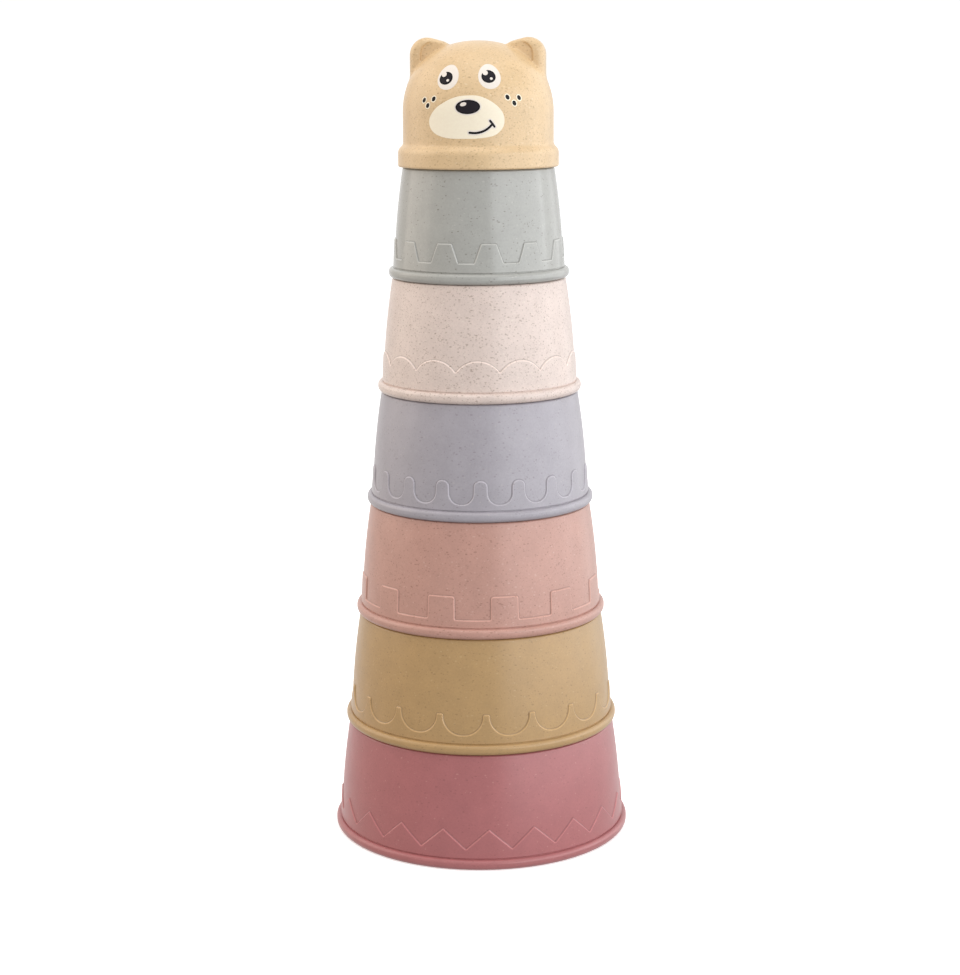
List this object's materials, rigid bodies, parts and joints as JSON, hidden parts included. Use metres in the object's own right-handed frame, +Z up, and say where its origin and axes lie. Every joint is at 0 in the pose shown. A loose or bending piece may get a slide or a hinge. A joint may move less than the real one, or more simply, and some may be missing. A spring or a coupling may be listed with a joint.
{
  "type": "stacking cup tower",
  "caption": "Tower of tapered nesting cups standing mouth down, each with a rim bead and a patterned band, topped by a bear-head cup.",
  "frame": {"origin": "centre of the bottom cup's rim, on the surface that the tower stands on", "axes": "+Z up along the tower's axis; the bear's face looks towards -Y, turned about 8 degrees towards -X"},
  "size_m": [0.1022, 0.1022, 0.2704],
  "materials": {
    "rose_plastic": "satin moulded plastic with small brown wheat-straw flecks",
    "mustard_plastic": "satin moulded plastic with small brown wheat-straw flecks",
    "pink_plastic": "satin moulded plastic with small brown wheat-straw flecks",
    "lavender_plastic": "satin moulded plastic with small brown wheat-straw flecks",
    "cream_plastic": "satin moulded plastic with small brown wheat-straw flecks",
    "grey_plastic": "satin moulded plastic with small brown wheat-straw flecks",
    "bear_plastic": "satin moulded plastic with small brown wheat-straw flecks",
    "print_white": "pad-printed ink, satin",
    "print_black": "pad-printed ink, satin",
    "print_muzzle": "pad-printed ink, satin"
  },
  "bodies": {
    "rose": {"rose_cup": "rose_plastic"},
    "mustard": {"mustard_cup": "mustard_plastic"},
    "pink": {"pink_cup": "pink_plastic"},
    "lavender": {"lavender_cup": "lavender_plastic"},
    "cream": {"cream_cup": "cream_plastic"},
    "grey": {"grey_cup": "grey_plastic"},
    "bear": {"bear_cup": "bear_plastic"}
  },
  "joints": [
    {"name": "mustard_lift", "type": "slide", "parent": "rose", "child": "mustard", "axis": [0, 0, 1], "range_m": [0, 0.022]},
    {"name": "pink_lift", "type": "slide", "parent": "mustard", "child": "pink", "axis": [0, 0, 1], "range_m": [0, 0.022]},
    {"name": "lavender_lift", "type": "slide", "parent": "pink", "child": "lavender", "axis": [0, 0, 1], "range_m": [0, 0.022]},
    {"name": "cream_lift", "type": "slide", "parent": "lavender", "child": "cream", "axis": [0, 0, 1], "range_m": [0, 0.022]},
    {"name": "grey_lift", "type": "slide", "parent": "cream", "child": "grey", "axis": [0, 0, 1], "range_m": [0, 0.022]},
    {"name": "bear_lift", "type": "slide", "parent": "grey", "child": "bear", "axis": [0, 0, 1], "range_m": [0, 0.022]}
  ]
}
